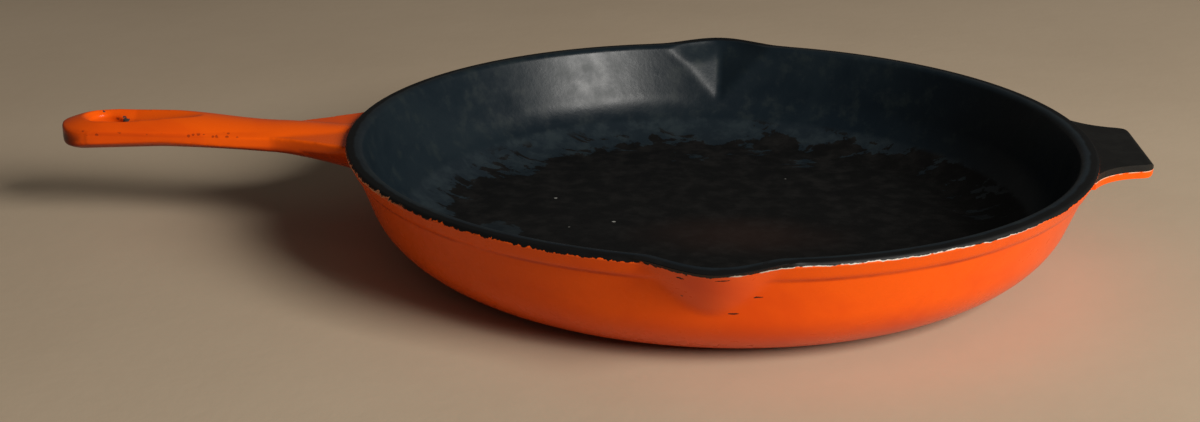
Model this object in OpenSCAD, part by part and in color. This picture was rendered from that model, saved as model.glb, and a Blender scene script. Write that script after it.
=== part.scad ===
// Enamelled cast-iron skillet with a long handle, a helper handle and two pouring spouts.
// The base rests on z = 0 with its centre at the origin. The long handle runs along -X,
// the helper handle along +X, and the spouts are at +Y and -Y. All sizes are millimetres.

/* [Pan] */
// Radius of the rim, outside the enamel
rim_r = 150; // [110:1:200]
// Height of the rim above the worktop
rim_h = 46; // [38:1:58]
// Radius of the flat base
base_r = 106; // [70:1:150]
// Thickness of the wall and floor, both enamel coats included
wall_t = 5.4; // [4.4:0.1:7]
// Lean of the wall away from upright, in degrees
wall_lean = 20.5; // [12:0.5:24]
// Height of the raised band under the rim
lip_h = 7.5; // [4:0.5:10]
// How far the raised band stands out from the wall
lip_out = 0.8; // [0.4:0.1:1.5]

/* [Enamel] */
// Thickness of one coat of enamel
coat = 0.4; // [0.3:0.05:0.6]
// Height of the black band that wraps over the rim
rim_band = 2; // [1.6:0.1:3]

/* [Spouts] */
// How far a spout stands out past the rim circle
spout_out = 10.5; // [6:0.5:14]
// Width of a spout along the rim, shoulders included
spout_w = 62; // [44:1:80]
// Slope of a spout under the rim, in degrees from upright
spout_lean = 42; // [40:1:50]
// Slope of the channel inside a spout, in degrees from upright
channel_lean = 38; // [36:1:44]

/* [Long handle] */
// Reach of the handle from the centre of the pan to its tip
handle_reach = 272.5; // [230:1:340]
// Half width of the handle at its widest place
handle_half_w = 14.5; // [12:0.5:18]
// Half width of the handle at its neck
neck_half_w = 12; // [9:0.5:13]
// Height of the crown of the handle above the worktop
handle_crown_z = 48; // [44:0.5:52]
// Thickness of the handle at its widest place
handle_t = 13.4; // [11:0.2:16]
// Diameter of the hanging hole, inside the enamel
hang_hole_d = 14; // [10:0.5:16]
// Distance from the tip of the handle to the centre of the hanging hole
hang_hole_in = 18.5; // [16:0.5:24]
// Length of the teardrop dish past the centre of the hanging hole
dish_len = 46; // [30:1:60]

/* [Helper handle] */
// Reach of the helper handle from the centre of the pan to its straight edge
helper_reach = 170; // [150:1:230]
// Half width of the helper handle at its straight edge
helper_half_w = 25; // [18:0.5:32]
// Thickness of the helper handle
helper_t = 5.4; // [4.4:0.2:8]

/* [Hidden] */
$fn = 96;
// Small amount that carries a cutter past the face it opens
over = 1;

// Colours of the bare iron and the two enamels
iron_colour = [0.20, 0.20, 0.21];
black_colour = [0.07, 0.08, 0.09];
orange_colour = [0.90, 0.27, 0.04];

// Curve of the wall between the flat base and the straight part of the wall
knee_z = 0.49 * rim_h;
knee_r = rim_r - lip_out - (rim_h - knee_z) * tan(wall_lean);
knee_steps = 12;
knee = [
    [base_r, 0],
    [base_r + 0.42 * (knee_r - base_r), 0],
    [knee_r - 0.55 * knee_z * tan(wall_lean), 0.45 * knee_z],
    [knee_r, knee_z],
];

// Rounding of the two edges of the rim
rim_round = 1.6;
round_steps = 5;
// Height at which the base coat meets the coat of the outer wall
base_split_z = 1.2;

function bez(p, u) =
    pow(1 - u, 3) * p[0] + 3 * pow(1 - u, 2) * u * p[1]
    + 3 * (1 - u) * u * u * p[2] + pow(u, 3) * p[3];
function bez_run(p, u) =
    3 * pow(1 - u, 2) * (p[1] - p[0]) + 6 * (1 - u) * u * (p[2] - p[1])
    + 3 * u * u * (p[3] - p[2]);
// Point of the wall curve moved t towards the inside of the iron
function knee_pt(u, t) =
    let (run = bez_run(knee, u))
    bez(knee, u) + t * [-run[1], run[0]] / norm(run);
function wall_r(z, t) =
    knee_r + (z - knee_z) * tan(wall_lean) - t / cos(wall_lean);
function arc(c, r, a0, a1, n) =
    [for (i = [0:n]) c + r * [cos(a0 + (a1 - a0) * i / n), sin(a0 + (a1 - a0) * i / n)]];

// Half outline of the whole pan filled in, with every face moved t inwards
function outer_profile(t) = concat(
    [[0, t]],
    [for (i = [0:knee_steps]) knee_pt(i / knee_steps, t)],
    [
        [wall_r(rim_h - lip_h, t), rim_h - lip_h],
        [wall_r(rim_h - lip_h + lip_out, t) + lip_out, rim_h - lip_h + lip_out],
    ],
    arc([rim_r - rim_round, rim_h - rim_round], rim_round - t, 0, 90, round_steps),
    [[0, rim_h - t]]
);
// Half outline of the hollow of the pan, with every face moved t into the iron
function hollow_profile(t) = concat(
    [[0, wall_t - t]],
    [for (i = [0:knee_steps]) knee_pt(i / knee_steps, wall_t - t)],
    [for (p = rim_inner_arc(t)) p],
    [[wall_r(rim_h, wall_t) + rim_round + over, rim_h + over], [0, rim_h + over]]
);
function rim_inner_arc(t) = arc(
    [wall_r(rim_h - rim_round, wall_t) + rim_round, rim_h - rim_round],
    rim_round - t, 180 - wall_lean, 90, round_steps
);

// Half outline of a spout across the rim, from one shoulder to the other
spout_steps = 24;
// Depth by which the ends of the outline sink into the wall
spout_sink = 0.5;
// Distance the wedge of a spout reaches back from the rim circle
spout_back = -12;
function spout_bell(x) = (spout_out + spout_sink) * (1 + cos(360 * x / spout_w)) / 2 - spout_sink;
function spout_pt(i) =
    let (x = spout_w * (i / spout_steps - 0.5))
    [x, sqrt(rim_r * rim_r - x * x) + spout_bell(x)];

// Depth under the rim at which a face with this lean has run out of the wall
function spout_depth(lean) = (spout_out + lip_out) / (tan(lean) - tan(wall_lean)) + 1;

// Wedge of a spout leaning back under the rim, with its outer face moved t inwards
module spout_prism(t, lean) {
    foot = rim_h / cos(lean);
    outline = [for (i = [0:spout_steps]) spout_pt(i)];
    face = [for (p = outline) [p[0], (p[1] - rim_r) * cos(lean) - t]];
    translate([0, rim_r, rim_h])
        rotate([-lean, 0, 0])
            translate([0, 0, -foot])
                linear_extrude(foot + 3 * spout_out)
                    polygon(concat([[-spout_w / 2, spout_back]], face, [[spout_w / 2, spout_back]]));
}

// Both spouts between the height where they fade out and the given top
module spouts(t, lean, top) {
    foot_z = rim_h - spout_depth(lean);
    for (side = [0, 1])
        mirror([0, side, 0])
            intersection() {
                spout_prism(t, lean);
                translate([-spout_w, 0, foot_z])
                    cube([2 * spout_w, rim_r + 3 * spout_out, top - foot_z]);
            }
}

// Pan filled in, with its outer faces moved t inwards
module envelope(t) {
    rotate_extrude()
        polygon(outer_profile(t));
    spouts(t, spout_lean, rim_h - t);
}

// Hollow of the pan, with its faces moved t into the iron
module hollow(t) {
    rotate_extrude()
        polygon(hollow_profile(t));
    spouts(wall_t - t, channel_lean, rim_h + over);
}

// Slice of space between two heights, wide enough for the whole skillet
module slab(z0, z1) {
    reach = 2 * handle_reach;
    translate([-reach, -reach, z0])
        cube([2 * reach, 2 * reach, z1 - z0]);
}

/* Long handle */
tip_x = -handle_reach;
hole_x = tip_x + hang_hole_in;
neck_x = -(rim_r + 0.26 * (handle_reach - rim_r));
root_x = -rim_r + 6;
root_half_w = 29;
handle_belly_z = handle_crown_z - handle_t;
// Heights of the crown and belly at the neck and at the root
neck_crown_z = handle_crown_z - 3;
root_crown_z = rim_h - rim_band - 0.4;
neck_belly_z = handle_belly_z - 1.3;
root_belly_z = handle_belly_z - 8.5;
// Droop of the belly from the grip to the tip
tip_droop = 2.2;
// Radii of the rounded top and the rounded underside across the handle
crown_r = 24;
belly_r = 18.5;
crown_axis_z = handle_crown_z - crown_r;
belly_axis_z = handle_belly_z + belly_r;
// Length and height of the rounding of the top and of the underside at the tip, from the side
nose_top_len = 22;
nose_drop = 4.6;
nose_under_len = 11;
nose_rise = 7;
nose_steps = 8;
handle_steps = 26;

// Smooth step from 0 to 1
function ease(u) = u * u * (3 - 2 * u);
// Share of the way from one station to the next, held between 0 and 1
function share(x, x0, x1) = max(0, min(1, (x - x0) / (x1 - x0)));
wide_x = tip_x + 3 * handle_half_w;
function half_w(x) =
    x < wide_x ? handle_half_w
    : x < neck_x ? handle_half_w + (neck_half_w - handle_half_w) * ease(share(x, wide_x, neck_x))
    : neck_half_w + (root_half_w - neck_half_w) * pow(share(x, neck_x, root_x), 1.3);

// Plan outline of one side of the handle, moved t inwards
function side_pts(t) = concat(
    arc([tip_x + handle_half_w, 0], handle_half_w - t, 180, 90, 8),
    [for (i = [1:handle_steps])
        let (x = tip_x + handle_half_w + i * (root_x - tip_x - handle_half_w) / handle_steps)
        [x, half_w(x) - t]]
);
module handle_plan(t, top) {
    pts = side_pts(t);
    back = [for (i = [len(pts) - 1:-1:1]) [pts[i][0], -pts[i][1]]];
    linear_extrude(top)
        polygon(concat(pts, back));
}

// Height of the crown and of the belly along the handle
function crown_z(x) =
    x < wide_x
    ? handle_crown_z - nose_drop * pow(share(x, tip_x + nose_top_len, tip_x), 2)
    : x < neck_x
    ? handle_crown_z + (neck_crown_z - handle_crown_z) * ease(share(x, wide_x, neck_x))
    : neck_crown_z + (root_crown_z - neck_crown_z) * ease(share(x, neck_x, root_x));
function nose_under(x) = 1 - sqrt(1 - pow(share(x, tip_x + nose_under_len, tip_x), 2));
function belly_z(x) =
    x < wide_x
    ? handle_belly_z - tip_droop * share(x, wide_x, tip_x) + nose_rise * nose_under(x)
    : x < neck_x
    ? handle_belly_z + (neck_belly_z - handle_belly_z) * pow(share(x, wide_x, neck_x), 2)
    : neck_belly_z + (root_belly_z - neck_belly_z) * pow(share(x, neck_x, root_x), 1.4);

// Body turned about a line along the handle at height z, from a list of [radius, x]
module turned(pts, z) {
    translate([0, 0, z])
        rotate([0, 90, 0])
            rotate_extrude()
                polygon(concat([[0, pts[0][1]]], pts, [[0, pts[len(pts) - 1][1]]]));
}

function stations(x0, x1, n) = [for (i = [0:n]) x0 + i * (x1 - x0) / n];
// Stations along the handle, closer together round the nose
handle_stations = concat(
    [for (i = [0:nose_steps - 1]) tip_x + nose_under_len * (1 - cos(90 * i / nose_steps))],
    stations(tip_x + nose_under_len, root_x, handle_steps)
);

// Flatter part of the section that fans out from the neck to the wall of the pan
// Drop of its edges below the crown, at the neck and at the wall
fan_neck_drop = 3.4;
fan_root_drop = 0.2;
fan_axis_z = handle_crown_z + 12.5;
fan_steps = 8;
function fan_belly_z(x) = belly_z(x) + 1.5 * (1 - share(x, neck_x, root_x));
module handle_fan(t) {
    xs = stations(neck_x, root_x, fan_steps);
    intersection() {
        rotate([90, 0, 0])
            translate([0, 0, -rim_r])
                linear_extrude(2 * rim_r)
                    polygon([
                        [neck_x, 0],
                        [neck_x, neck_crown_z - fan_neck_drop - t],
                        [root_x, root_crown_z - fan_root_drop - t],
                        [root_x, 0],
                    ]);
        turned([for (x = xs) [fan_axis_z - fan_belly_z(x) - t, x]], fan_axis_z);
    }
}

module handle_body(t) {
    xs = handle_stations;
    intersection() {
        handle_plan(t, 2 * rim_h);
        union() {
            intersection() {
                turned([for (x = xs) [crown_z(x) - t - crown_axis_z, x]], crown_axis_z);
                turned([for (x = xs) [belly_axis_z - belly_z(x) - t, x]], belly_axis_z);
            }
            handle_fan(t);
        }
    }
}

/* Teardrop dish and hanging hole */
dish_half_w = 9;
dish_depth = 4;
dish_ball_r = (dish_half_w * dish_half_w + dish_depth * dish_depth) / (2 * dish_depth);
// Drop of the long edges of the dish below the crown of the handle
dish_edge_drop = 2;
dish_z = handle_crown_z - dish_edge_drop + dish_ball_r - dish_depth;
// Length of the dish before it starts to narrow
dish_full_len = 10;

// Cutter for the dish, with its faces moved t into the iron
module dish(t) {
    ball_r = dish_ball_r + t;
    translate([hole_x, 0, dish_z]) {
        sphere(ball_r);
        rotate([0, 90, 0])
            cylinder(h = dish_full_len, r = ball_r);
        translate([dish_full_len, 0, 0])
            rotate([0, 90, 0])
                cylinder(h = dish_len - dish_full_len, r1 = ball_r, r2 = dish_z - handle_crown_z + t);
    }
}

module hang_hole(t) {
    translate([hole_x, 0, 0])
        cylinder(h = 2 * rim_h, d = hang_hole_d + 2 * t);
}

module handle_shape(t) {
    difference() {
        handle_body(t);
        dish(t);
        hang_hole(t);
    }
}

/* Helper handle */
// The top of the helper handle meets the wall along the lower edge of the black band
helper_top_z = rim_h - rim_band;
helper_corner_r = 7;
helper_flare_r = 28;
helper_flare_start = 205;
helper_root_x = rim_r - 12;
// Centre of the hollow flare, and of the rounded corner that runs on from it
helper_flare_c = [helper_reach - 1, helper_half_w + helper_flare_r];
helper_turn = asin((helper_corner_r - 1) / (helper_flare_r + helper_corner_r));
helper_corner_c =
    helper_flare_c - (helper_flare_r + helper_corner_r) * [sin(helper_turn), cos(helper_turn)];

// Plan outline of the helper handle, moved t inwards
module helper_plan(t) {
    edge = concat(
        arc(helper_flare_c, helper_flare_r + t, helper_flare_start, 270 - helper_turn, 10),
        arc(helper_corner_c, helper_corner_r - t, 90 - helper_turn, 0, 6)
    );
    side = concat([[helper_root_x, edge[0][1]]], edge);
    back = [for (i = [len(side) - 1:-1:0]) [side[i][0], -side[i][1]]];
    polygon(concat(side, back));
}

// Side outline of the helper handle with a rounded nose, moved t inwards
module helper_side(t) {
    nose_r = helper_t / 2;
    nose_x = helper_reach - nose_r;
    polygon(concat(
        [[helper_root_x, helper_top_z - helper_t + t]],
        arc([nose_x, helper_top_z - nose_r], nose_r - t, -90, 90, 10),
        [[helper_root_x, helper_top_z - t]]
    ));
}

module helper_shape(t) {
    intersection() {
        linear_extrude(2 * rim_h)
            helper_plan(t);
        rotate([90, 0, 0])
            translate([0, 0, -rim_r])
                linear_extrude(2 * rim_r)
                    helper_side(t);
    }
}

/* Sub-parts */
module pan_casting() {
    color(iron_colour)
        difference() {
            envelope(coat);
            hollow(coat);
        }
}

module long_handle() {
    color(iron_colour)
        difference() {
            handle_shape(coat);
            envelope(coat);
        }
}

module helper_handle() {
    color(iron_colour)
        difference() {
            helper_shape(coat);
            envelope(coat);
        }
}

// Black enamel of the inside, carried over the rim
module inner_enamel() {
    color(black_colour)
        difference() {
            union() {
                intersection() {
                    envelope(0);
                    hollow(coat);
                }
                intersection() {
                    difference() {
                        envelope(0);
                        envelope(coat);
                    }
                    slab(rim_h - rim_band, rim_h + over);
                }
            }
            hollow(0);
        }
}

module outer_enamel() {
    color(orange_colour)
        difference() {
            intersection() {
                envelope(0);
                slab(base_split_z, rim_h - rim_band);
            }
            envelope(coat);
            handle_shape(0);
            helper_shape(0);
        }
}

module base_enamel() {
    color(orange_colour)
        difference() {
            intersection() {
                envelope(0);
                slab(0, base_split_z);
            }
            envelope(coat);
        }
}

module handle_enamel() {
    color(orange_colour)
        difference() {
            handle_shape(0);
            handle_shape(coat);
            envelope(coat);
        }
}

// Coat of the helper handle above or below the middle of its edge
module helper_coat(z0, z1) {
    difference() {
        intersection() {
            helper_shape(0);
            slab(z0, z1);
        }
        helper_shape(coat);
        envelope(coat);
    }
}

module helper_top_enamel() {
    color(black_colour)
        helper_coat(helper_top_z - helper_t / 2, rim_h);
}

module helper_under_enamel() {
    color(orange_colour)
        helper_coat(0, helper_top_z - helper_t / 2);
}

pan_casting();
long_handle();
helper_handle();
inner_enamel();
helper_top_enamel();
outer_enamel();
base_enamel();
helper_under_enamel();
handle_enamel();
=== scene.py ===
"""Enamelled cast-iron skillet: orange glaze outside, matte black enamel inside.

The base stands on z = 0 with its centre at the origin. The long handle runs along -X,
the helper handle along +X, and the two pouring spouts are at +Y and -Y. Sizes are in
millimetres, and MM turns them into Blender's metres.
"""

import math

import bpy
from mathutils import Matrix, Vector


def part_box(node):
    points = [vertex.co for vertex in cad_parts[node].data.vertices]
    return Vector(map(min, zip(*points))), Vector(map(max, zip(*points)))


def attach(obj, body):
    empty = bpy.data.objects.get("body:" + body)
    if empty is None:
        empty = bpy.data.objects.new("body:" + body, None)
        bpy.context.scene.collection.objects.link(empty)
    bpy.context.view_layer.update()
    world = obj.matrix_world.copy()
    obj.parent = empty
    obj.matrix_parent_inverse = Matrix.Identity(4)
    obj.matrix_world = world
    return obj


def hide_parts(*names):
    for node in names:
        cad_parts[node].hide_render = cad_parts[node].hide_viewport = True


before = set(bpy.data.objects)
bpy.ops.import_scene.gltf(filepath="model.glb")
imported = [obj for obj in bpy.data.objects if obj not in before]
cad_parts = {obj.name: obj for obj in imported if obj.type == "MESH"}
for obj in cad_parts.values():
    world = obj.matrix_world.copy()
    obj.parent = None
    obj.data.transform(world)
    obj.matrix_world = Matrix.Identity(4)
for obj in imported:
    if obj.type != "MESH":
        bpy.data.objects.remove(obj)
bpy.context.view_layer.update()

MM = 0.001

# Sizes of the pan
COAT = 0.4
COAT_SHOWN = COAT * 0.9
RIM_R = -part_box("pan_casting")[0].x / MM + COAT
RIM_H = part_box("inner_enamel")[1].z / MM
BASE_R = 106
WALL_T = 5.4
WALL_LEAN = math.radians(20.5)
LIP_H = 7.5
LIP_OUT = 0.8
LIP_FLARE = 0.6
RIM_ROUND = 1.6
MOUTH_ROUND = 2.9
RIM_BAND = 2
KNEE_Z = 0.49 * RIM_H
KNEE_R = RIM_R - LIP_OUT - (RIM_H - KNEE_Z) * math.tan(WALL_LEAN)

# How finely the pan is drawn
TURN_STEPS = 432
KNEE_STEPS = 24
INSIDE_WALL_STEPS = 18
OUTSIDE_WALL_STEPS = 26
INSIDE_FLOOR_RADII = (0, 12, 24, 36, 48, 60, 72, 84, 95)
OUTSIDE_BASE_RADII = (0, 30, 60, 85, 100)

# The attribute rim_place holds the distance inwards from the rim's edge, near the rim only
RIM_PLACE_DEPTH = 3
FAR_FROM_RIM = 20

# Sizes of the spouts
SPOUT_OUT = 10.5
SPOUT_W = 66
SPOUT_LEAN = math.radians(42)
CHANNEL_LEAN = math.radians(38)
CHANNEL_SLOPE = 0.46
CHANNEL_TURN = (0.5, 9)
SPOUT_FOOT = 26
SPOUT_FADE = 6
CHANNEL_FOOT = 27
CHANNEL_FADE = 5
OUTER_BLEND = 1.5
INNER_BLEND = 1.0

# Sizes of the long handle
TIP_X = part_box("handle_enamel")[0].x / MM
HOLE_X = TIP_X + 18.5
HOLE_D = 14
GRIP_HALF_W = 14.5
NECK_HALF_W = 12
ROOT_HALF_W = 29
WIDE_X = TIP_X + 3 * GRIP_HALF_W
NECK_X = -(RIM_R + 0.26 * (-TIP_X - RIM_R))
ROOT_X = -RIM_R + 6
CROWN_Z = 48
CROWN_R = 24
CROWN_TIP_RUN, CROWN_TIP_DROP = 22, 4.6
CROWN_NECK_DROP = 3
BELLY_Z = 34.6
BELLY_R = 24
BELLY_TIP_DROP, BELLY_NECK_DROP, BELLY_ROOT_DROP = 2.2, 1.3, 8.5
NOSE, NOSE_RISE = 11, 7
FAN_AXIS_Z = CROWN_Z + 12.5
FAN_SINK = 1.5
FAN_TOP_DROP = 6.4

# Sizes of the teardrop dish round the hanging hole
DISH_HALF_W = 9
DISH_DEPTH = 4
DISH_SINK = 2
DISH_FLAT = 10
DISH_TAIL = 46

# Colours in linear light
BRIGHT_ORANGE = (0.86, 0.102, 0.003, 1)
DEEP_ORANGE = (0.66, 0.048, 0.003, 1)
PIT_BROWN = (0.10, 0.016, 0.006, 1)
FOOT_RED = (0.60, 0.060, 0.006, 1)
GROOVE_SHADE_RED = (0.42, 0.028, 0.003, 1)
SCRATCH_BROWN = (0.045, 0.012, 0.008, 1)
SCUFF_BROWN = (0.055, 0.035, 0.028, 1)
TIP_BROWN = (0.060, 0.010, 0.004, 1)
ROOT_SHADE_RED = (0.42, 0.030, 0.003, 1)
LOWER_EDGE_SHADE_BROWN = (0.22, 0.016, 0.004, 1)
DOT_BROWN = (0.16, 0.020, 0.006, 1)
CREASE_SHADE_RED = (0.40, 0.035, 0.004, 1)
CHIP_GREY = (0.06, 0.045, 0.04, 1)
SEAM_HIGHLIGHT_CREAM = (0.62, 0.50, 0.36, 1)
WALL_DARK = (0.0040, 0.0085, 0.0130, 1)
WALL_BLUE = (0.0080, 0.0140, 0.0185, 1)
WALL_MOTTLE = (0.0150, 0.0215, 0.0225, 1)
BARE_DARK = (0.0095, 0.0150, 0.0200, 1)
BARE_BLUE = (0.0170, 0.0250, 0.0300, 1)
BURNT_DARK = (0.0012, 0.0012, 0.0012, 1)
BURNT_GREY = (0.0062, 0.0057, 0.0053, 1)
WARM_REFLECTION_BROWN = (0.020, 0.0085, 0.0055, 1)
RIM_BLACK = (0.0018, 0.0020, 0.0022, 1)
PALE_LINE_CREAM = (0.60, 0.57, 0.50, 1)
HIGHLIGHT_ORANGE = (0.80, 0.30, 0.13, 1)
TAB_BLACK = (0.0022, 0.0023, 0.0021, 1)
TAB_GREY = (0.0058, 0.0060, 0.0052, 1)
TAB_WORN = (0.075, 0.070, 0.060, 1)
IRON_LIGHT = (0.16, 0.155, 0.15, 1)
IRON_DARK = (0.045, 0.042, 0.04, 1)
FLOOR_DARK = (0.42, 0.325, 0.225, 1)
FLOOR_LIGHT = (0.53, 0.42, 0.30, 1)
SKY = (1.0, 0.94, 0.86, 1)
WINDOW = (1.0, 0.97, 0.92)


# ---------------------------------------------------------------- camera

def set_camera():
    """A camera low on the near side of the pan."""
    bpy.ops.object.camera_add(
        location=(0, -0.66435, 0.24495),
        rotation=(math.radians(70.565), math.radians(-0.238), math.radians(4.197)),
    )
    camera = bpy.context.object
    camera.name = "camera"
    camera.data.lens = 51
    camera.data.sensor_width = 36
    camera.data.clip_start = 0.02
    bpy.context.scene.camera = camera


# ---------------------------------------------------------------- modelling helpers

def deselect():
    bpy.ops.object.select_all(action="DESELECT")


def only(piece):
    """Selects this piece alone and makes it the active one."""
    deselect()
    piece.select_set(True)
    bpy.context.view_layer.objects.active = piece


def draw_line(name, points):
    """A chain of edges through the points, left in edit mode."""
    points = [Vector(p) * MM for p in points]
    deselect()
    bpy.ops.mesh.primitive_plane_add(size=MM, location=points[0])
    piece = bpy.context.object
    piece.name = name
    piece.data.name = name
    bpy.ops.object.transform_apply(location=True, rotation=False, scale=False)
    bpy.ops.object.mode_set(mode="EDIT")
    bpy.ops.mesh.select_mode(type="VERT")
    bpy.ops.mesh.select_all(action="SELECT")
    bpy.ops.mesh.merge(type="CENTER")
    for a, b in zip(points, points[1:]):
        bpy.ops.mesh.extrude_region_move(TRANSFORM_OT_translate={"value": tuple(b - a)})
    return piece


def turn_line(steps, centre=(0, 0, 0), axis=(0, 0, 1)):
    """Spins the drawn line all the way round and closes its seam and poles."""
    bpy.ops.mesh.select_all(action="SELECT")
    bpy.ops.mesh.spin(
        steps=steps, angle=2 * math.pi, center=Vector(centre) * MM, axis=axis
    )
    bpy.ops.mesh.select_all(action="SELECT")
    bpy.ops.mesh.remove_doubles(threshold=0.002 * MM)
    bpy.ops.mesh.normals_make_consistent(inside=False)


def end_edit():
    bpy.ops.object.mode_set(mode="OBJECT")


def turned_body(name, points, steps, centre, axis):
    """A closed body turned from a line whose two ends are on the axis."""
    piece = draw_line(name, points)
    turn_line(steps, centre, axis)
    end_edit()
    return piece


def slab_body(name, outline, rise):
    """A closed body raised from a drawn outline."""
    piece = draw_line(name, outline)
    bpy.ops.mesh.select_all(action="SELECT")
    bpy.ops.mesh.edge_face_add()
    bpy.ops.mesh.select_all(action="SELECT")
    bpy.ops.mesh.extrude_region_move(
        TRANSFORM_OT_translate={"value": tuple(Vector(rise) * MM)}
    )
    bpy.ops.mesh.select_all(action="SELECT")
    bpy.ops.mesh.normals_make_consistent(inside=False)
    end_edit()
    return piece


def modify(piece, kind, **settings):
    """Adds a modifier with these settings and applies it."""
    only(piece)
    modifier = piece.modifiers.new(kind.lower(), kind)
    for name, value in settings.items():
        setattr(modifier, name, value)
    bpy.ops.object.modifier_apply(modifier=modifier.name)


def combine(piece, other, operation):
    """Joins, cuts or keeps the overlap of two closed bodies. The second one is used up."""
    modify(piece, "BOOLEAN", object=other, operation=operation, solver="EXACT")
    bpy.data.objects.remove(other)


def soften(piece, voxel, rounds, melt_rounds, swell, melts):
    """Remeshes a body finely, melts its edges as glaze does and gives back the lost thickness.

    melts says how much further the surface melts at a place, from 0 to 1.
    """
    modify(piece, "REMESH", mode="VOXEL", voxel_size=voxel * MM)
    modify(piece, "SMOOTH", factor=0.5, iterations=rounds)
    group = piece.vertex_groups.new(name="melt")
    for v in piece.data.vertices:
        weight = melts(*(v.co / MM))
        if weight > 0:
            group.add([v.index], weight, "REPLACE")
    modify(piece, "SMOOTH", factor=0.5, iterations=melt_rounds, vertex_group=group.name)
    piece.vertex_groups.clear()
    modify(piece, "DISPLACE", strength=swell * MM, mid_level=0)


def finish_piece(piece, nodes, material, angle=50):
    """Smooth shading, finish, and the CAD nodes that the piece stands for."""
    only(piece)
    bpy.ops.object.shade_smooth_by_angle(angle=math.radians(angle))
    piece.data.materials.clear()
    piece.data.materials.append(material)
    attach(piece, "root")
    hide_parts(*nodes)


# ---------------------------------------------------------------- shape of the pan

def arc(cx, cz, radius, a0, a1, steps):
    """Points of an arc from angle a0 to a1, in degrees."""
    angles = [math.radians(a0 + (a1 - a0) * i / steps) for i in range(steps + 1)]
    return [(cx + radius * math.cos(a), cz + radius * math.sin(a)) for a in angles]


def share(x, x0, x1):
    """How far x has gone from x0 to x1, from 0 to 1."""
    return max(0, min(1, (x - x0) / (x1 - x0)))


def smooth_step(x, x0, x1):
    u = share(x, x0, x1)
    return u * u * (3 - 2 * u)


def stations(x0, x1, n):
    """n + 1 even stations from x0 to x1."""
    return [x0 + (x1 - x0) * i / n for i in range(n + 1)]


def knee_point(u, t):
    """A point of the curve between base and wall, moved t towards the inside."""
    p = [
        Vector((BASE_R, 0)),
        Vector((BASE_R + 0.42 * (KNEE_R - BASE_R), 0)),
        Vector((KNEE_R - 0.55 * KNEE_Z * math.tan(WALL_LEAN), 0.45 * KNEE_Z)),
        Vector((KNEE_R, KNEE_Z)),
    ]
    v = 1 - u
    point = v**3 * p[0] + 3 * v * v * u * p[1] + 3 * v * u * u * p[2] + u**3 * p[3]
    run = v * v * (p[1] - p[0]) + 2 * v * u * (p[2] - p[1]) + u * u * (p[3] - p[2])
    side = Vector((-run.y, run.x)).normalized()
    return tuple(point + t * side)


def wall_r(z, t=0):
    """Radius of the leaning wall, moved t towards the inside."""
    return KNEE_R + (z - KNEE_Z) * math.tan(WALL_LEAN) - t / math.cos(WALL_LEAN)


def lip_r(z):
    """Outer radius of the wall, with the raised band under the rim swelling out of it."""
    foot = RIM_H - LIP_H
    band = LIP_OUT * smooth_step(z, foot - 0.5, foot + 1.2)
    flare = LIP_FLARE * share(z, foot + LIP_OUT, RIM_H - RIM_ROUND)
    return min(RIM_R, wall_r(z) + band + flare)


def bell(x):
    """How far a spout stands out past the rim, across its width."""
    if abs(x) > SPOUT_W / 2:
        return -OUTER_BLEND
    swing = (1 + math.cos(2 * math.pi * x / SPOUT_W)) / 2
    return (SPOUT_OUT + OUTER_BLEND) * swing - OUTER_BLEND


def soft_rise(v, blend):
    """v above zero and nothing below it, with a rounded turn between them."""
    if v <= -blend:
        return 0
    if v < blend:
        return (v + blend) ** 2 / (4 * blend)
    return v


def outer_bulge(x, z, radius):
    """How far a spout pulls out the outside of the wall."""
    depth = RIM_H - z
    if abs(x) >= SPOUT_W / 2 or depth > SPOUT_FOOT:
        return 0
    face = math.sqrt(RIM_R**2 - x * x) + bell(x) - depth * math.tan(SPOUT_LEAN)
    rise = soft_rise(face - math.sqrt(radius**2 - x * x), OUTER_BLEND)
    return rise * (1 - smooth_step(depth, SPOUT_FOOT - SPOUT_FADE, SPOUT_FOOT))


def inner_bulge(x, z, radius):
    """The channel in a spout: a round mouth at the rim that sharpens into a V lower down."""
    depth = RIM_H - z
    if abs(x) >= SPOUT_W / 2 or depth > CHANNEL_FOOT:
        return 0
    vee = SPOUT_OUT - CHANNEL_SLOPE * abs(x)
    turn = smooth_step(depth, *CHANNEL_TURN)
    mouth = bell(x) * (1 - turn) + vee * turn
    back = WALL_T / math.cos(CHANNEL_LEAN) + depth * math.tan(CHANNEL_LEAN)
    face = math.sqrt(RIM_R**2 - x * x) + mouth - back
    rise = soft_rise(face - math.sqrt(radius**2 - x * x), INNER_BLEND)
    return rise * (1 - smooth_step(depth, CHANNEL_FOOT - CHANNEL_FADE, CHANNEL_FOOT))


def pull_spouts(piece, bulge):
    """Pulls both spouts out of a turned wall, along Y, by painted weights."""
    for side in (1, -1):
        group = piece.vertex_groups.new(name="spout")
        for v in piece.data.vertices:
            x, y, z = v.co / MM
            if y * side > 0:
                pull = bulge(x, z, math.hypot(x, y))
                if pull > 0:
                    group.add([v.index], pull / (2 * SPOUT_OUT), "REPLACE")
        modify(
            piece, "DISPLACE", direction="Y", mid_level=0,
            strength=side * 2 * SPOUT_OUT * MM, vertex_group=group.name,
        )
        piece.vertex_groups.clear()


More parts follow.
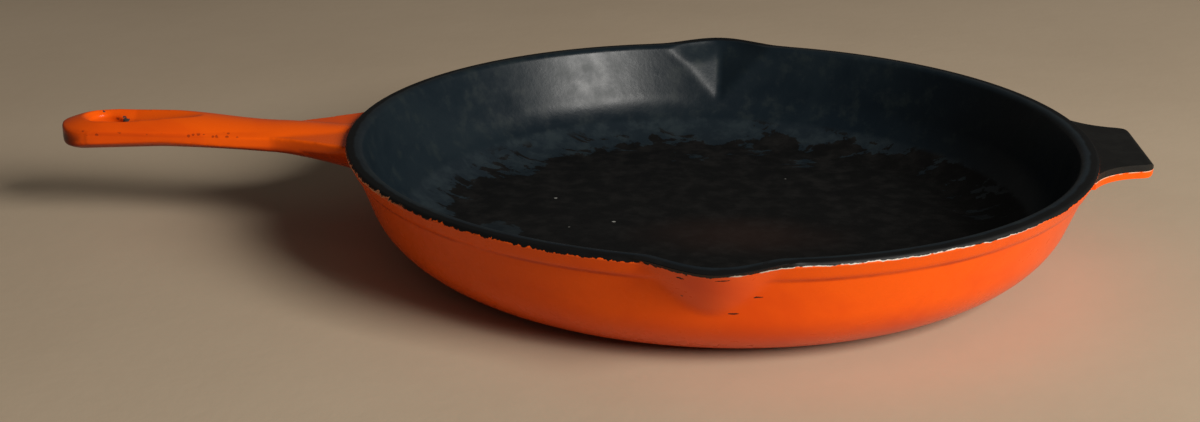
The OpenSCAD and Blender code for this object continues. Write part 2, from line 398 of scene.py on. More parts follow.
def make_inside_coat(material):
    """Black enamel: floor, wall and rim, and a band down the outside of the rim."""
    line = [(r, WALL_T) for r in INSIDE_FLOOR_RADII]
    line += [knee_point(i / KNEE_STEPS, WALL_T) for i in range(KNEE_STEPS + 1)]
    turn_z = RIM_H - MOUTH_ROUND
    start = line[-1][1]
    mouth = (wall_r(turn_z, WALL_T) + MOUTH_ROUND / math.cos(WALL_LEAN), turn_z)
    turn = arc(*mouth, MOUTH_ROUND, 180 - math.degrees(WALL_LEAN), 90, 12)
    levels = stations(start, turn[0][1], INSIDE_WALL_STEPS)[1:-1]
    line += [(wall_r(z, WALL_T), z) for z in levels] + turn
    line += arc(RIM_R - RIM_ROUND, RIM_H - RIM_ROUND, RIM_ROUND, 90, 0, 8)[1:]
    line += [(lip_r(RIM_H - RIM_BAND), RIM_H - RIM_BAND)]
    piece = draw_line("inside_coat", [(r, 0, z) for r, z in line])
    turn_line(TURN_STEPS)
    end_edit()

    outer_edge = RIM_R - RIM_ROUND
    inner_edge = mouth[0]

    def bulge(x, z, radius):
        """The spout inside and outside, and a straight run between them over the rim."""
        if radius > outer_edge:
            return outer_bulge(x, z, radius)
        if radius < inner_edge:
            return inner_bulge(x, z, radius)
        part = share(radius, inner_edge, outer_edge)
        inner = inner_bulge(x, RIM_H, inner_edge)
        return inner * (1 - part) + outer_bulge(x, RIM_H, outer_edge) * part

    rim_place = piece.data.attributes.new("rim_place", "FLOAT", "POINT")
    for v in piece.data.vertices:
        x, y, z = v.co / MM
        near = z > RIM_H - RIM_PLACE_DEPTH
        rim_place.data[v.index].value = RIM_R - math.hypot(x, y) if near else FAR_FROM_RIM

    pull_spouts(piece, bulge)
    face_out(piece, up=True)
    modify(piece, "SOLIDIFY", thickness=COAT_SHOWN * MM, offset=-1)
    finish_piece(piece, ["inner_enamel"], material)


def make_outside_coat(material):
    """Orange glaze: base, curve and wall up to the black band."""
    line = [(r, 0) for r in OUTSIDE_BASE_RADII]
    line += [knee_point(i / KNEE_STEPS, 0) for i in range(KNEE_STEPS + 1)]
    levels = stations(line[-1][1], RIM_H - RIM_BAND, OUTSIDE_WALL_STEPS)[1:]
    line += [(lip_r(z), z) for z in levels]
    piece = draw_line("outside_coat", [(r, 0, z) for r, z in line])
    turn_line(TURN_STEPS)
    end_edit()
    pull_spouts(piece, outer_bulge)
    face_out(piece, up=False)
    modify(piece, "SOLIDIFY", thickness=COAT_SHOWN * MM, offset=-1)
    finish_piece(piece, ["outer_enamel", "base_enamel"], material)


def face_out(piece, up):
    """Turns an open shell so that its flat middle faces up or down."""
    middle = min(piece.data.polygons, key=lambda p: p.center.to_2d().length)
    if (middle.normal.z > 0) != up:
        only(piece)
        bpy.ops.object.mode_set(mode="EDIT")
        bpy.ops.mesh.select_all(action="SELECT")
        bpy.ops.mesh.flip_normals()
        end_edit()


# ---------------------------------------------------------------- shape of the long handle

def crown_z(x):
    """Height of the handle's top line."""
    neck, root = CROWN_Z - CROWN_NECK_DROP, RIM_H - RIM_BAND - COAT
    if x < WIDE_X:
        return CROWN_Z - CROWN_TIP_DROP * share(x, TIP_X + CROWN_TIP_RUN, TIP_X) ** 2
    if x < NECK_X:
        return CROWN_Z + (neck - CROWN_Z) * smooth_step(x, WIDE_X, NECK_X)
    return neck + (root - neck) * smooth_step(x, NECK_X, ROOT_X)


def belly_z(x):
    """Height of the handle's bottom line."""
    neck, root = BELLY_Z - BELLY_NECK_DROP, BELLY_Z - BELLY_ROOT_DROP
    if x < WIDE_X:
        nose = 1 - math.sqrt(1 - share(x, TIP_X + NOSE, TIP_X) ** 2)
        return BELLY_Z - BELLY_TIP_DROP * share(x, WIDE_X, TIP_X) + NOSE_RISE * nose
    if x < NECK_X:
        return BELLY_Z + (neck - BELLY_Z) * share(x, WIDE_X, NECK_X) ** 2
    return neck + (root - neck) * share(x, NECK_X, ROOT_X) ** 1.4


def half_w(x):
    """Half the handle's width."""
    if x < WIDE_X:
        return GRIP_HALF_W
    if x < NECK_X:
        return GRIP_HALF_W + (NECK_HALF_W - GRIP_HALF_W) * smooth_step(x, WIDE_X, NECK_X)
    return NECK_HALF_W + (ROOT_HALF_W - NECK_HALF_W) * share(x, NECK_X, ROOT_X) ** 1.3


def revolved(name, xs, over, radius, axis_z):
    """A body turned about a line along the handle, a little longer than its stations."""
    xs = [xs[0] - over] + xs + [xs[-1] + over]
    line = [(xs[0], 0, axis_z)] + [(x, 0, axis_z + radius(x)) for x in xs]
    line += [(xs[-1], 0, axis_z)]
    return turned_body(name, line, 160, (0, 0, axis_z), (1, 0, 0))


def make_long_handle(material):
    """The grip, its teardrop dish and hanging hole, and the fan that runs into the wall."""
    nose = [TIP_X + NOSE * (1 - math.cos(math.pi / 2 * i / 10)) for i in range(10)]
    xs = nose + stations(TIP_X + NOSE, ROOT_X, 60)
    crown_axis, belly_axis = CROWN_Z - CROWN_R, BELLY_Z + BELLY_R
    piece = revolved("handle_coat", xs, 1, lambda x: crown_z(x) - crown_axis, crown_axis)
    belly = revolved("belly", xs, 2, lambda x: belly_axis - belly_z(x), belly_axis)
    combine(piece, belly, "INTERSECT")

    # the fan, cut off level with the black band, with its start sunk in the neck
    def fan_r(x):
        return FAN_AXIS_Z - belly_z(x) - FAN_SINK * (1 - share(x, NECK_X, ROOT_X))

    fan = revolved("fan", stations(NECK_X, ROOT_X, 20), 3, fan_r, FAN_AXIS_Z)
    side_y, past_root = 60, ROOT_X + 5
    under = [
        (NECK_X, -side_y, 0), (NECK_X, -side_y, CROWN_Z - FAN_TOP_DROP),
        (past_root, -side_y, RIM_H - RIM_BAND - 0.5), (past_root, -side_y, 0),
    ]
    combine(fan, slab_body("fan_top", under, (0, 2 * side_y, 0)), "INTERSECT")
    combine(piece, fan, "UNION")

    # the outline seen from above, with a round tip a little inside the turned nose
    tip_centre, tip_r = TIP_X + GRIP_HALF_W, GRIP_HALF_W - 0.25
    side = [(tip_centre + r, s) for r, s in arc(0, 0, tip_r, 180, 92, 24)]
    side += [(x, half_w(x)) for x in stations(tip_centre, ROOT_X, 60)]
    outline = [(x, y, 10) for x, y in side]
    outline += [(x, -y, 10) for x, y in reversed(side[1:])]
    combine(piece, slab_body("plan", outline, (0, 0, 60)), "INTERSECT")

    # the dish is round at the tip and runs to a point along the grip
    ball_r = (DISH_HALF_W**2 + DISH_DEPTH**2) / (2 * DISH_DEPTH)
    dish_z = CROWN_Z - DISH_SINK + ball_r - DISH_DEPTH
    point_r = dish_z - CROWN_Z
    line = [(HOLE_X - r, 0, dish_z + s) for r, s in arc(0, 0, ball_r, 0, 90, 20)]
    line += [(HOLE_X + DISH_FLAT, 0, dish_z + ball_r), (HOLE_X + DISH_TAIL, 0, dish_z + point_r)]
    line += [(HOLE_X + DISH_TAIL, 0, dish_z)]
    dish = turned_body("dish", line, 128, (0, 0, dish_z), (1, 0, 0))
    combine(piece, dish, "DIFFERENCE")

    hole = [(HOLE_X + x, y, 20) for x, y in arc(0, 0, HOLE_D / 2, 0, 354, 59)]
    combine(piece, slab_body("hole", hole, (0, 0, 40)), "DIFFERENCE")

    def melts(x, y, z):
        """1 over the top middle of the root, where the neck runs into the fan."""
        start = smooth_step(x, NECK_X - 10, NECK_X + 8)
        along = start * (1 - smooth_step(x, ROOT_X - 5, ROOT_X - 1))
        across = 1 - smooth_step(abs(y), half_w(x) - 5, half_w(x) - 2.5)
        return along * across * smooth_step(z, 38, 40)

    soften(piece, voxel=0.5, rounds=10, melt_rounds=60, swell=0.14, melts=melts)
    finish_piece(piece, ["handle_enamel"], material, angle=80)


# ---------------------------------------------------------------- material helpers

def new_material(name):
    material = bpy.data.materials.new(name)
    material.use_nodes = True
    tree = material.node_tree
    tree.nodes.clear()
    shader = tree.nodes.new("ShaderNodeBsdfPrincipled")
    output = tree.nodes.new("ShaderNodeOutputMaterial")
    tree.links.new(shader.outputs[0], output.inputs["Surface"])
    return material, tree, shader


def put(tree, socket, value):
    """Links a socket to another, or sets its value."""
    if isinstance(value, bpy.types.NodeSocket):
        tree.links.new(value, socket)
    elif value is not None:
        socket.default_value = value


def maths(tree, operation, a, b=None, clamp=False):
    node = tree.nodes.new("ShaderNodeMath")
    node.operation = operation
    node.use_clamp = clamp
    for socket, value in zip(node.inputs, (a, b)):
        put(tree, socket, value)
    return node.outputs[0]


def times(tree, first, *others):
    for other in others:
        first = maths(tree, "MULTIPLY", first, other)
    return first


def plus(tree, first, *others):
    for other in others:
        first = maths(tree, "ADD", first, other)
    return first


def minus(tree, a, b, clamp=False):
    return maths(tree, "SUBTRACT", a, b, clamp)


def either(tree, first, *others):
    """A mask that is 1 where any of these masks is."""
    for other in others:
        first = maths(tree, "MAXIMUM", first, other)
    return first


def distance_from(tree, value, middle=0.0):
    """How far a value is from the middle, on either side."""
    if middle:
        value = minus(tree, value, middle)
    return maths(tree, "ABSOLUTE", value)


def fade(tree, value, x0, x1, y0=0.0, y1=1.0):
    """Runs smoothly from y0 to y1 as the value goes from x0 to x1."""
    node = tree.nodes.new("ShaderNodeMapRange")
    node.interpolation_type = "SMOOTHSTEP"
    names = ("Value", "From Min", "From Max", "To Min", "To Max")
    for name, item in zip(names, (value, x0, x1, y0, y1)):
        put(tree, node.inputs[name], item)
    return node.outputs["Result"]


def fade_mm(tree, value, x0, x1, y0=0.0, y1=1.0):
    """The same, with x0 and x1 in millimetres."""
    return fade(tree, value, x0 * MM, x1 * MM, y0, y1)


def noise(tree, place, scale, detail=3.0, roughness=0.55, distortion=0.0):
    node = tree.nodes.new("ShaderNodeTexNoise")
    put(tree, node.inputs["Vector"], place)
    put(tree, node.inputs["Scale"], scale)
    node.inputs["Detail"].default_value = detail
    node.inputs["Roughness"].default_value = roughness
    node.inputs["Distortion"].default_value = distortion
    return node.outputs["Fac"]


def wander(tree, place, scale, detail, roughness, reach):
    """A noise that strays up to about half of reach above and below zero."""
    return times(tree, minus(tree, noise(tree, place, scale, detail, roughness), 0.5), reach)


def blend(tree, mask, a, b):
    """Colour a where the mask is 0 and colour b where it is 1."""
    node = tree.nodes.new("ShaderNodeMix")
    node.data_type = "RGBA"
    put(tree, node.inputs[0], mask)
    put(tree, node.inputs[6], a)
    put(tree, node.inputs[7], b)
    return node.outputs[2]


def scaled(tree, place, scale):
    node = tree.nodes.new("ShaderNodeMapping")
    put(tree, node.inputs["Vector"], place)
    node.inputs["Scale"].default_value = scale
    return node.outputs["Vector"]


def vector_maths(tree, operation, a, b=None, output="Vector"):
    node = tree.nodes.new("ShaderNodeVectorMath")
    node.operation = operation
    put(tree, node.inputs[0], a)
    put(tree, node.inputs[1], b)
    return node.outputs[output]


def object_place(tree):
    return tree.nodes.new("ShaderNodeTexCoord").outputs["Object"]


def parts_of(tree, place):
    """The place's X, Y and Z, by name."""
    node = tree.nodes.new("ShaderNodeSeparateXYZ")
    put(tree, node.inputs[0], place)
    return node.outputs


def new_group(name, inputs, outputs):
    """A node group with named inputs and outputs, and the nodes that carry them."""
    group = bpy.data.node_groups.new(name, "ShaderNodeTree")
    for label, kind, value in inputs:
        socket = group.interface.new_socket(name=label, in_out="INPUT", socket_type=kind)
        if value is not None:
            socket.default_value = value
    for label, kind in outputs:
        group.interface.new_socket(name=label, in_out="OUTPUT", socket_type=kind)
    given = group.nodes.new("NodeGroupInput").outputs
    made = group.nodes.new("NodeGroupOutput").inputs
    return group, given, made


def use_group(tree, group, **values):
    node = tree.nodes.new("ShaderNodeGroup")
    node.node_tree = group
    for label, value in values.items():
        put(tree, node.inputs[label], value)
    return node.outputs


def bump(tree, height, strength, distance):
    node = tree.nodes.new("ShaderNodeBump")
    put(tree, node.inputs["Height"], height)
    node.inputs["Strength"].default_value = strength
    node.inputs["Distance"].default_value = distance
    return node.outputs["Normal"]


# ---------------------------------------------------------------- shared effects

FLOAT, COLOUR, VECTOR = "NodeSocketFloat", "NodeSocketColor", "NodeSocketVector"


def make_spot_group():
    """A stain or chip: a mask that is 1 near a place, with a ragged edge."""
    group, given, made = new_group(
        "ragged_spot",
        [("Place", VECTOR, None), ("Centre", VECTOR, None), ("Stretch", VECTOR, (1, 1, 1)),
         ("Radius", FLOAT, 0.01), ("Ragged", FLOAT, 0.003), ("Grain", FLOAT, 200.0),
         ("Softness", FLOAT, 0.06)],
        [("Mask", FLOAT)],
    )
    away = vector_maths(group, "SUBTRACT", given["Place"], given["Centre"])
    squeezed = vector_maths(group, "MULTIPLY", away, given["Stretch"])
    length = vector_maths(group, "LENGTH", squeezed, output="Value")
    ripple = minus(group, noise(group, given["Place"], given["Grain"], 5, 0.62), 0.5)
    distance = plus(group, length, times(group, ripple, given["Ragged"]))
    soft = times(group, given["Radius"], given["Softness"])
    low = minus(group, given["Radius"], soft)
    high = plus(group, given["Radius"], soft)
    put(group, made["Mask"], fade(group, distance, low, high, 1.0, 0.0))
    return group


def make_speck_group():
    """Sparse small specks of about the given size."""
    group, given, made = new_group(
        "specks",
        [("Place", VECTOR, None), ("Spacing", FLOAT, 60.0), ("Size", FLOAT, 0.02),
         ("Share", FLOAT, 0.2)],
        [("Mask", FLOAT)],
    )
    cells = group.nodes.new("ShaderNodeTexVoronoi")
    put(group, cells.inputs["Vector"], given["Place"])
    put(group, cells.inputs["Scale"], given["Spacing"])
    near = maths(group, "LESS_THAN", cells.outputs["Distance"], given["Size"])
    part = group.nodes.new("ShaderNodeSeparateColor")
    put(group, part.inputs[0], cells.outputs["Color"])
    chosen = maths(group, "LESS_THAN", part.outputs[0], given["Share"])
    put(group, made["Mask"], times(group, near, chosen))
    return group


def make_glaze_group():
    """Orange glaze: its warm colour, redder where it is thin, with faint clouds in it."""
    group, given, made = new_group(
        "orange_glaze",
        [("Place", VECTOR, None), ("Bright", COLOUR, BRIGHT_ORANGE),
         ("Deep", COLOUR, DEEP_ORANGE), ("Clouds", FLOAT, 0.5)],
        [("Colour", COLOUR), ("Roughness", FLOAT), ("Height", FLOAT)],
    )
    clouds = noise(group, given["Place"], 22, 4, 0.6, 0.4)
    fine = noise(group, given["Place"], 260, 2, 0.5)
    peel = noise(group, given["Place"], 95, 2, 0.45)
    amount = times(group, fade(group, clouds, 0.42, 0.72), given["Clouds"])
    put(group, made["Colour"], blend(group, amount, given["Bright"], given["Deep"]))
    rough = plus(group, times(group, clouds, 0.14), times(group, fine, 0.08), 0.17)
    put(group, made["Roughness"], rough)
    put(group, made["Height"], plus(group, peel, times(group, fine, 0.12)))
    return group


def make_iron_group():
    """Bare cast iron: grey grain with darker pits."""
    group, given, made = new_group(
        "cast_grain",
        [("Place", VECTOR, None), ("Light", COLOUR, IRON_LIGHT), ("Dark", COLOUR, IRON_DARK)],
        [("Colour", COLOUR), ("Roughness", FLOAT), ("Height", FLOAT)],
    )
    grain = noise(group, given["Place"], 420, 4, 0.65)
    broad = noise(group, given["Place"], 45, 3, 0.55)
    pale = fade(group, times(group, grain, broad), 0.15, 0.36)
    put(group, made["Colour"], blend(group, pale, given["Dark"], given["Light"]))
    put(group, made["Roughness"], plus(group, times(group, grain, 0.3), 0.42))
    put(group, made["Height"], grain)
    return group


def spot(tree, place, centre, radius, ragged, grain, stretch=(1, 1, 1), softness=0.06):
    """A ragged spot, with its centre, radius and raggedness in millimetres."""
    return use_group(
        tree, groups["spot"], Place=place, Centre=tuple(c * MM for c in centre),
        Stretch=stretch, Radius=radius * MM, Ragged=ragged * MM, Grain=grain,
        Softness=softness,
    )["Mask"]


# ---------------------------------------------------------------- black enamel

def pan_floor(tree, place, bare_wall, mottle, z):
    """Lays the bare and the burnt floor over the wall's colour, with a painted warm reflection
    on the burnt floor, and says where it is burnt.
    """
    def stain(centre, radius, ragged, grain, softness, stretch=(0.93, 1, 0.2)):
        return spot(tree, place, (*centre, WALL_T), radius, ragged, grain, stretch, softness)

    low = fade_mm(tree, z, 15, 12.5)
    bare = blend(tree, fade(tree, mottle, 0.40, 0.66), BARE_DARK, BARE_BLUE)
    colour = blend(tree, times(tree, low, 0.8), bare_wall, bare)

    # the patina has a torn edge, loose flecks beyond it and holes near its edge
    drawn = scaled(tree, place, (0.75, 1.5, 1))
    patina = stain((10, 2), 113, 55, 52.0, 0.010)
    flecks = fade(tree, noise(tree, drawn, 78, 5, 0.66, 0.5), 0.555, 0.575)
    patina = either(tree, patina, times(tree, flecks, stain((10, 2), 124, 40, 30.0, 0.030)))
    holes = fade(tree, noise(tree, drawn, 60, 5, 0.66, 0.3), 0.385, 0.365)
    whole = stain((12, -6), 94, 50, 30.0, 0.08)
    holes = times(tree, holes, minus(tree, 1.0, whole))
    bay = stain((-90, -20), 11, 20, 90.0, 0.05, stretch=(1, 0.8, 0.2))
    holes = either(tree, holes, times(tree, bay, 0.7))
    burnt = times(tree, patina, minus(tree, 1.0, holes), low)

    burnt_colour = blend(tree, fade(tree, mottle, 0.4, 0.75), BURNT_DARK, BURNT_GREY)
    # a painted reflection: a faint warm brown glow in the middle of the burnt floor
    warm = stain((12, -12), 16, 12, 40.0, 0.9, stretch=(0.55, 1, 1))
    burnt_colour = blend(tree, times(tree, warm, 0.6), burnt_colour, WARM_REFLECTION_BROWN)
    return blend(tree, burnt, colour, burnt_colour), burnt


def crumbs_and_painted_glints(tree, place, colour):
    """Crumbs on the floor, and two glints at the foot of the helper handle that are painted
    highlights.
    """
    for centre, radius, tint in (
        ((-69, 28, WALL_T), 0.7, 0.26),
        ((-42, 0, WALL_T), 0.7, 0.30),
        ((-60, -8, WALL_T), 0.4, 0.16),
        ((31, 63, WALL_T), 0.45, 0.16),
        # the last two are painted highlights: pale glints on the crease at the foot of the
        # helper handle
        ((149.6, -11.5, RIM_H - 2), 0.75, 0.62),
        ((148.8, -19, RIM_H - 2.2), 0.85, 0.66),
    ):
        speck = spot(tree, place, centre, radius, 1, 900.0, softness=0.2)
        colour = blend(tree, speck, colour, (tint, tint, 0.93 * tint, 1))
    return colour


def facing_outward(tree, x, y):
    """1 where the surface faces away from the pan's axis."""
    face = tree.nodes.new("ShaderNodeNewGeometry").outputs["Normal"]
    flat = tree.nodes.new("ShaderNodeCombineXYZ")
    put(tree, flat.inputs["X"], x)
    put(tree, flat.inputs["Y"], y)
    radial = vector_maths(tree, "NORMALIZE", flat.outputs[0])
    lean = vector_maths(tree, "DOT_PRODUCT", face, radial, output="Value")
    return fade(tree, lean, 0.15, 0.3)


def rim_outside(tree, place, colour, x, y, z):
    """The toothed line under the rim where black meets orange, a pale line along part of it, and
    a painted highlight line beside the long handle.
    """
    outward = facing_outward(tree, x, y)
    teeth = minus(tree, noise(tree, place, 420, 3, 0.6), 0.5)
    bite = fade_mm(tree, x, 10, -10, 1.2 * MM, 3.8 * MM)
    waves = wander(tree, place, 70, 2, 0.5, 1.8 * MM)
    edge = plus(tree, times(tree, teeth, bite), waves, (RIM_H - 1.35) * MM)
    above = minus(tree, z, edge)
    orange = times(tree, fade_mm(tree, above, 0.06, -0.06), outward)
    glaze = use_group(tree, groups["glaze"], Place=place, Clouds=0.35)
    colour = blend(tree, orange, colour, glaze["Colour"])

    # a pale line to the right of the near spout
    from_edge = distance_from(tree, above)
    right_of_spout = times(tree, fade_mm(tree, x, 0, 6), fade_mm(tree, x, 118, 95))
    # the stretch of rim that carries the pale line
    worn = times(tree, right_of_spout, fade_mm(tree, y, 20, -30))
    width = fade_mm(tree, x, 16, 24, 0.42 * MM, 0.22 * MM)
    thin = fade(tree, from_edge, width, 0.08 * MM)
    gaps = fade(tree, noise(tree, place, 130, 3, 0.6), 0.36, 0.46)
    pale = times(tree, thin, outward, worn, gaps)
    colour = blend(tree, pale, colour, PALE_LINE_CREAM)

    # a painted highlight: a pale orange line along the rim's outer edge beside the long handle
    rim_highlight = times(tree, fade_mm(tree, x, -108, -122), fade_mm(tree, y, 10, -10))
    rim_highlight = times(tree, rim_highlight, fade_mm(tree, from_edge, 0.40, 0.15), outward)
    return blend(tree, rim_highlight, colour, HIGHLIGHT_ORANGE), orange


def make_black_material():
    """Matte black enamel inside, with a burnt-in patina on the floor, a black rim, a pale line
    under it and a painted highlight line beside the long handle.
    """
    material, tree, shader = new_material("matte_black_enamel")
    place = object_place(tree)
    x, y, z = parts_of(tree, place)

    clouds = noise(tree, place, 14, 5, 0.62, 0.6)
    mottle = noise(tree, place, 120, 4, 0.6)
    wall = blend(tree, fade(tree, clouds, 0.35, 0.68), WALL_DARK, WALL_BLUE)
    wall = blend(tree, fade(tree, mottle, 0.50, 0.72, 0, 0.55), wall, WALL_MOTTLE)
    inside, burnt = pan_floor(tree, place, wall, mottle, z)

    rim_place = tree.nodes.new("ShaderNodeAttribute")
    rim_place.attribute_name = "rim_place"
    inward = plus(tree, rim_place.outputs["Fac"], wander(tree, place, 90, 3, 0.6, 2.2))
    rim = fade(tree, inward, 4.2, 3.0)
    inside = blend(tree, rim, inside, RIM_BLACK)
    inside = crumbs_and_painted_glints(tree, place, inside)
    colour, orange = rim_outside(tree, place, inside, x, y, z)
    put(tree, shader.inputs["Base Color"], colour)

    rough = plus(
        tree, times(tree, mottle, 0.34), times(tree, clouds, 0.08), 0.145,
        times(tree, burnt, 0.26), times(tree, rim, 0.22),
    )
    rough = minus(tree, rough, times(tree, orange, 0.15), clamp=True)
    put(tree, shader.inputs["Roughness"], rough)
    shader.inputs["Specular IOR Level"].default_value = 0.25
    grain = noise(tree, place, 300, 4, 0.62)
    fine = noise(tree, place, 620, 3, 0.6)
    height = plus(
        tree, times(tree, grain, 0.55), times(tree, fine, 0.35), times(tree, burnt, 0.5)
    )
    put(tree, shader.inputs["Normal"], bump(tree, height, 0.28, 0.35 * MM))
    return material


def make_helper_black():
    """Black enamel on top of the helper handle, worn at its outer edge."""
    material, tree, shader = new_material("helper_black_enamel")
    place = object_place(tree)
    mottle = noise(tree, place, 150, 4, 0.6)
    fine = noise(tree, place, 620, 3, 0.6)
    colour = blend(tree, fade(tree, mottle, 0.35, 0.7), TAB_BLACK, TAB_GREY)
    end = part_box("helper_top_enamel")[1].x
    x = parts_of(tree, place)["X"]
    at_end = fade(tree, x, end - 1.3 * MM, end - 0.3 * MM)
    worn = times(tree, at_end, fade(tree, mottle, 0.48, 0.60), 0.8)
    put(tree, shader.inputs["Base Color"], blend(tree, worn, colour, TAB_WORN))
    put(tree, shader.inputs["Roughness"], plus(tree, times(tree, mottle, 0.25), 0.33))
    shader.inputs["Specular IOR Level"].default_value = 0.35
    height = plus(tree, mottle, times(tree, fine, 0.4))
    put(tree, shader.inputs["Normal"], bump(tree, height, 0.25, 0.3 * MM))
    return material


# ---------------------------------------------------------------- orange enamel

def make_orange_material(name, marks):
    """Glossy orange glaze with small pits, and whatever marks the piece carries."""
    material, tree, shader = new_material(name)
    place = object_place(tree)
    glaze = use_group(tree, groups["glaze"], Place=place, Clouds=0.45)
    colour, roughened = marks(tree, place, glaze["Colour"])
    pits = use_group(
        tree, groups["specks"], Place=place, Spacing=95.0, Size=0.055, Share=0.06
    )["Mask"]
    colour = blend(tree, times(tree, pits, 0.75), colour, PIT_BROWN)
    put(tree, shader.inputs["Base Color"], colour)
    rough = plus(tree, glaze["Roughness"], times(tree, roughened, 0.3))
    put(tree, shader.inputs["Roughness"], rough)
    shader.inputs["Specular IOR Level"].default_value = 0.11
    shader.inputs["Coat Weight"].default_value = 0.05
    shader.inputs["Coat Roughness"].default_value = 0.08
    height = minus(tree, glaze["Height"], times(tree, roughened, 1.5))
    put(tree, shader.inputs["Normal"], bump(tree, height, 0.16, 0.4 * MM))
    return material


def wall_marks(tree, place, colour):
    """A redder foot, scratches, painted shade in the groove under the lip and a scuffed standing
    ring.
    """
    x, _, z = parts_of(tree, place)
    colour = blend(tree, fade_mm(tree, z, 20, 2, 0, 0.55), colour, FOOT_RED)

    scratches = either(tree, *(
        spot(tree, place, centre, radius, 1.4, 700.0, stretch)
        for centre, stretch, radius in (
            ((7, -141, 25), (0.32, 0.15, 1.5), 0.50),
            ((15, -145, 32), (0.30, 0.15, 1.4), 0.55),
            ((-11, -155, 42), (0.4, 0.3, 1.5), 0.75),
            ((3, -158, 43), (0.3, 0.3, 1.6), 0.60),
            ((92, -108, 31), (0.6, 0.3, 1.2), 0.45),
        )
    ))
    # painted shade: a patchy dark red line in the groove under the lip, away from the spouts
    lip_foot = (RIM_H - LIP_H - 0.2) * MM
    groove = fade_mm(tree, distance_from(tree, z, lip_foot), 1.1, 0.2)
    groove_shade_amount = fade(tree, noise(tree, place, 36, 4, 0.6), 0.36, 0.60, 0.15, 0.60)
    beside_spouts = fade_mm(tree, distance_from(tree, x), 18, 34)
    colour = blend(tree, times(tree, groove, groove_shade_amount, beside_spouts), colour, GROOVE_SHADE_RED)

    scuffed = fade(tree, noise(tree, place, 160, 5, 0.7), 0.42, 0.60)
    ring = times(tree, fade_mm(tree, z, 1.0, 0.1), scuffed)
    colour = blend(tree, scratches, colour, SCRATCH_BROWN)
    colour = blend(tree, times(tree, ring, 0.8), colour, SCUFF_BROWN)
    return colour, either(tree, scratches, ring)


def handle_marks(tree, place, colour):
    """A burnt tip, a shaded root, painted shade along the lower edge and chips beside the hole.
    """
    x, _, z = parts_of(tree, place)
    smear = fade(tree, noise(tree, place, 60, 4, 0.6), 0.30, 0.55)
    tip = fade_mm(tree, x, TIP_X + 20, TIP_X + 2)
    burnt = times(tree, tip, fade_mm(tree, z, 44.5, 39), smear, 0.95)
    colour = blend(tree, burnt, colour, TIP_BROWN)

    root = fade_mm(tree, x, NECK_X - 6, NECK_X + 10)
    shade = times(tree, root, fade_mm(tree, z, 41, 37), 0.5)
    colour = blend(tree, shade, colour, ROOT_SHADE_RED)
    # painted shade: a darker brown band along the lower edge of the grip
    grip = fade_mm(tree, x, NECK_X + 18, NECK_X - 4)
    edge = times(tree, fade_mm(tree, z, 38.6, 36.6), grip, 0.7)
    colour = blend(tree, edge, colour, LOWER_EDGE_SHADE_BROWN)

    # the crease where the crown turns into the side face, with painted shade along it, and
    # scuffs along it
    crease = times(tree, fade_mm(tree, z, 41.2, 42.0), fade_mm(tree, z, 43.6, 42.8))
    crease = times(tree, crease, fade_mm(tree, x, NECK_X + 4, NECK_X - 12))
    dots = use_group(
        tree, groups["specks"], Place=place, Spacing=520.0, Size=0.40, Share=0.30
    )["Mask"]
    colour = blend(tree, times(tree, dots, crease, 0.7), colour, DOT_BROWN)
    # painted shade: a darker red line along the crease
    colour = blend(tree, times(tree, crease, 0.22), colour, CREASE_SHADE_RED)

    chips = either(tree, *(
        spot(tree, place, centre, radius, 2, 600.0, stretch)
        for centre, stretch, radius in (
            ((HOLE_X + 6.0, 3.6, 43.8), (0.8, 0.8, 0.5), 1.6),
            ((HOLE_X + 5.0, 5.4, 45.6), (1, 1, 0.6), 1.3),
            ((HOLE_X - 4.0, 7.5, 45.4), (1, 1, 1), 0.6),
        )
    ))
    return blend(tree, chips, colour, CHIP_GREY), chips


def helper_marks(tree, place, colour):
    """A pale line painted as a highlight where the two coats of the helper handle meet."""
    z = parts_of(tree, place)["Z"]
    meet = RIM_H - RIM_BAND - 3
    line = fade_mm(tree, z, meet - 0.2, meet + 0.2)
    line = times(tree, line, fade(tree, noise(tree, place, 220, 3, 0.6), 0.40, 0.52))
    # painted highlight: a broken pale cream line along the meeting line
    return blend(tree, times(tree, line, 0.8), colour, SEAM_HIGHLIGHT_CREAM), line


# ---------------------------------------------------------------- bare iron

def make_iron_material():
    """Bare cast iron, under the enamel."""
    material, tree, shader = new_material("bare_cast_iron")
    cast = use_group(tree, groups["iron"], Place=object_place(tree))
    put(tree, shader.inputs["Base Color"], cast["Colour"])
    put(tree, shader.inputs["Roughness"], cast["Roughness"])
    shader.inputs["Metallic"].default_value = 0.85
    put(tree, shader.inputs["Normal"], bump(tree, cast["Height"], 0.35, 0.3 * MM))
    return material


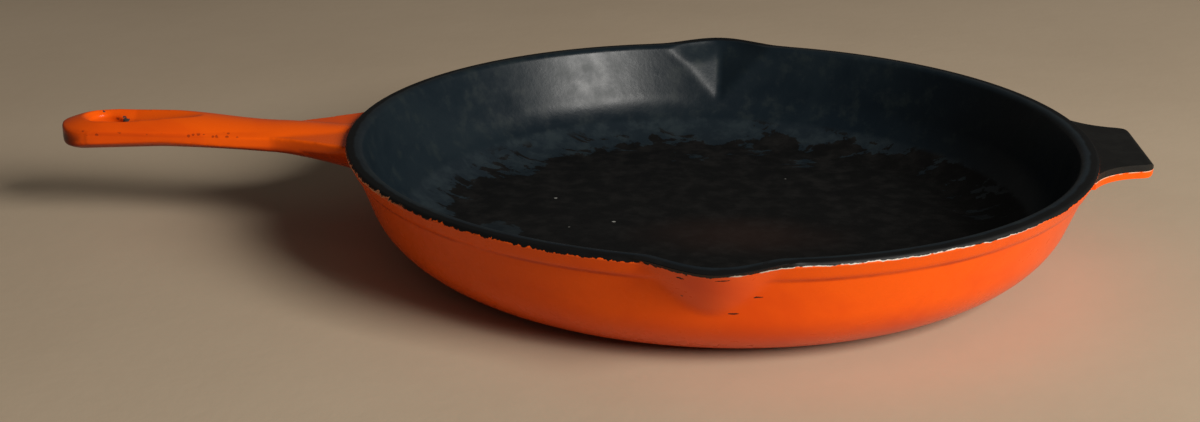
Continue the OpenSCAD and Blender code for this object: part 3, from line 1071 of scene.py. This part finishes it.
def repaint(node, material):
    """Gives a CAD node a better finish, on the slots it has."""
    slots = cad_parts[node].material_slots
    if not slots:
        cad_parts[node].data.materials.append(material)
    for slot in slots:
        slot.material = material


# ---------------------------------------------------------------- floor and light

def make_floor():
    deselect()
    bpy.ops.mesh.primitive_plane_add(size=8, location=(0, 0, 0))
    floor = bpy.context.object
    floor.name = "floor"
    material, tree, shader = new_material("pale_floor")
    place = object_place(tree)
    colour = blend(tree, noise(tree, place, 5, 5, 0.6), FLOOR_DARK, FLOOR_LIGHT)
    put(tree, shader.inputs["Base Color"], colour)
    shader.inputs["Roughness"].default_value = 0.75
    pores = noise(tree, place, 90, 5, 0.65)
    put(tree, shader.inputs["Normal"], bump(tree, pores, 0.15, 1.0 * MM))
    floor.data.materials.append(material)


def light_room():
    """One large window at the right, in front of the pan, and a dim warm room."""
    place, target = Vector((1.20, -0.98, 0.92)), Vector((0, 0, 0.02))
    bpy.ops.object.light_add(type="AREA", location=place)
    light = bpy.context.object
    light.name = "window"
    light.rotation_euler = (target - place).to_track_quat("-Z", "Y").to_euler()
    light.data.shape = "SQUARE"
    light.data.size = 0.78
    light.data.energy = 43
    light.data.color = WINDOW
    world = bpy.data.worlds.new("room")
    bpy.context.scene.world = world
    world.use_nodes = True
    sky = world.node_tree.nodes["Background"]
    sky.inputs["Color"].default_value = SKY
    sky.inputs["Strength"].default_value = 0.07
    bpy.context.scene.view_settings.view_transform = "Standard"


# ---------------------------------------------------------------- building

set_camera()
groups = {
    "spot": make_spot_group(),
    "specks": make_speck_group(),
    "glaze": make_glaze_group(),
    "iron": make_iron_group(),
}
iron = make_iron_material()
black = make_black_material()
wall_orange = make_orange_material("orange_wall_glaze", wall_marks)
handle_orange = make_orange_material("orange_handle_glaze", handle_marks)
helper_orange = make_orange_material("orange_helper_glaze", helper_marks)
helper_black = make_helper_black()

for casting in ("pan_casting", "long_handle", "helper_handle"):
    repaint(casting, iron)
repaint("helper_top_enamel", helper_black)
repaint("helper_under_enamel", helper_orange)

make_inside_coat(black)
make_outside_coat(wall_orange)
make_long_handle(handle_orange)

make_floor()
light_room()
